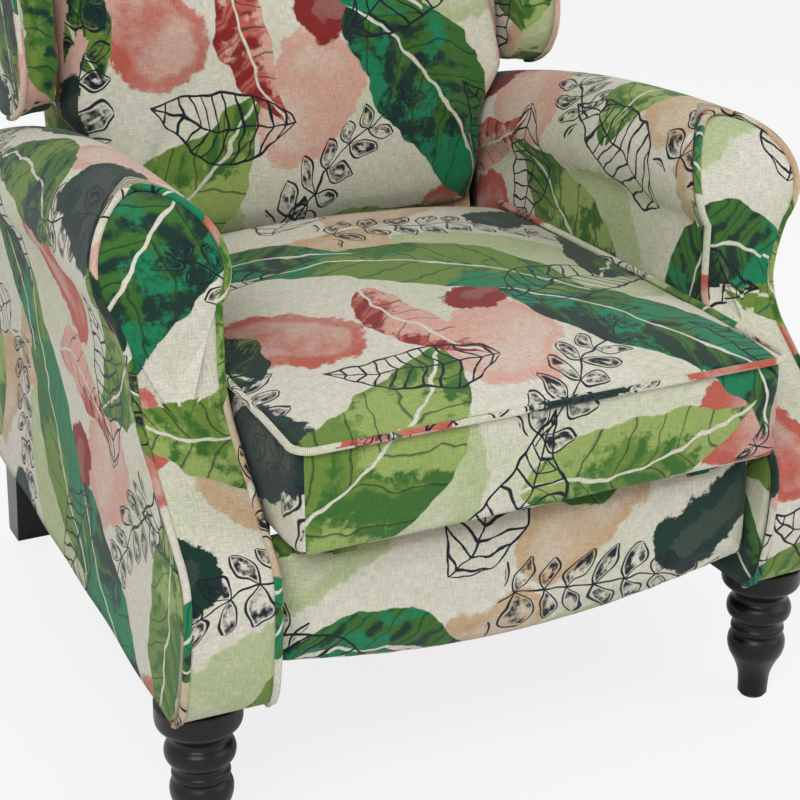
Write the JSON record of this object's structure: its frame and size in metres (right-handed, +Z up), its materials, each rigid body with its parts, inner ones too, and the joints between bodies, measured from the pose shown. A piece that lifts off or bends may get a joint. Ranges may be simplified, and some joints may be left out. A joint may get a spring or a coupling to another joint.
{
  "type": "wingback recliner",
  "caption": "Push-back wingback recliner with rolled arms, turned front legs, a crowned sprung seat and a footrest that swings out as the back leans.",
  "frame": {"origin": "on the floor, under the middle of the closed chair's box", "axes": "+Z up, -Y the way the sitter faces, +X to the left hand of the sitter"},
  "size_m": [0.7372, 0.848, 1.0512],
  "materials": {
    "printed_linen": "woven linen-look cloth with a painterly leaf print",
    "welt_cord": "the same cloth, cut on the bias and corded",
    "black_wood": "black satin lacquer",
    "plywood": "bare birch plywood",
    "hardwood": "planed hardwood",
    "black_steel": "black powder coat",
    "zinc_steel": "bright zinc",
    "spring_steel": "oiled spring wire",
    "webbing": "elastic webbing",
    "nylon": "matte"
  },
  "bodies": {
    "base": {"leg_front_left": "black_wood", "leg_front_right": "black_wood", "leg_rear_left": "black_wood", "leg_rear_right": "black_wood", "leg_glides": "nylon", "leg_plates": "black_steel", "leg_hanger_bolts": "zinc_steel", "arm_upholstery_left": "printed_linen", "arm_upholstery_right": "printed_linen", "arm_frame_left": "plywood", "arm_frame_right": "plywood", "arm_front_panel_left": "printed_linen", "arm_front_panel_right": "printed_linen", "arm_welt_left": "welt_cord", "arm_welt_right": "welt_cord", "middle_cross_rail": "hardwood", "rear_cross_rail": "hardwood", "rear_apron": "printed_linen", "base_bolts": "zinc_steel", "slide_studs": "zinc_steel", "base_angle_left": "black_steel", "base_angle_right": "black_steel", "back_pivot_plate_left": "black_steel", "back_pivot_plate_right": "black_steel"},
    "seat": {"seat_frame": "hardwood", "seat_springs": "spring_steel", "spring_clips": "spring_steel", "seat_welt": "welt_cord", "seat_cushion": "printed_linen", "seat_pivot_pins": "zinc_steel", "seat_side_plate_left": "black_steel", "seat_side_plate_right": "black_steel"},
    "rear_link_pair": {"rear_links": "black_steel", "torque_tube": "black_steel", "rear_link_pins": "zinc_steel"},
    "front_link_pair": {"front_links": "black_steel"},
    "main_link_pair": {"main_links": "black_steel", "main_link_pins": "zinc_steel"},
    "footrest": {"footrest_board": "plywood", "footrest_pad": "printed_linen", "footrest_bracket_left": "black_steel", "footrest_bracket_right": "black_steel"},
    "back": {"back_side_left": "plywood", "back_side_right": "plywood", "back_cross_rails": "hardwood", "wing_blocks": "hardwood", "back_webbing": "webbing", "back_cushion": "printed_linen", "outside_back": "printed_linen", "back_top_roll": "printed_linen", "wing_board_left": "plywood", "wing_board_right": "plywood", "wing_left": "printed_linen", "wing_right": "printed_linen", "wing_welt_left": "welt_cord", "wing_welt_right": "welt_cord", "back_bracket_left": "black_steel", "back_bracket_right": "black_steel"}
  },
  "joints": [
    {"name": "back_recline", "type": "hinge", "parent": "base", "child": "back", "pos_m": [0, 0.222, 0.462], "axis": [-1, 0, 0], "range_deg": [0, 30]},
    {"name": "seat_slide", "type": "slide", "parent": "base", "child": "seat", "axis": [0, -1, 0], "range_m": [0, 0.055]},
    {"name": "rear_link_swing", "type": "hinge", "parent": "seat", "child": "rear_link_pair", "pos_m": [0, -0.188, 0.278], "axis": [-1, 0, 0], "range_deg": [0, 145.01]},
    {"name": "front_link_swing", "type": "hinge", "parent": "seat", "child": "front_link_pair", "pos_m": [0, -0.25529, 0.29729], "axis": [-1, 0, 0], "range_deg": [0, 145.01]},
    {"name": "main_link_swing", "type": "hinge", "parent": "rear_link_pair", "child": "main_link_pair", "pos_m": [0, -0.02103, 0.1679], "axis": [-1, 0, 0], "range_deg": [-145.01, 0]},
    {"name": "footrest_turn", "type": "hinge", "parent": "main_link_pair", "child": "footrest", "pos_m": [0, -0.3171, 0.2528], "axis": [-1, 0, 0], "range_deg": [0, 90]}
  ],
  "couplings": [
    {"joint": "seat_slide", "follows": "back_recline", "m_per_rad": 0.105},
    {"joint": "rear_link_swing", "follows": "back_recline", "ratio": 4.8333},
    {"joint": "front_link_swing", "follows": "back_recline", "ratio": 4.8333},
    {"joint": "main_link_swing", "follows": "back_recline", "ratio": -4.8333},
    {"joint": "footrest_turn", "follows": "back_recline", "ratio": 3}
  ]
}
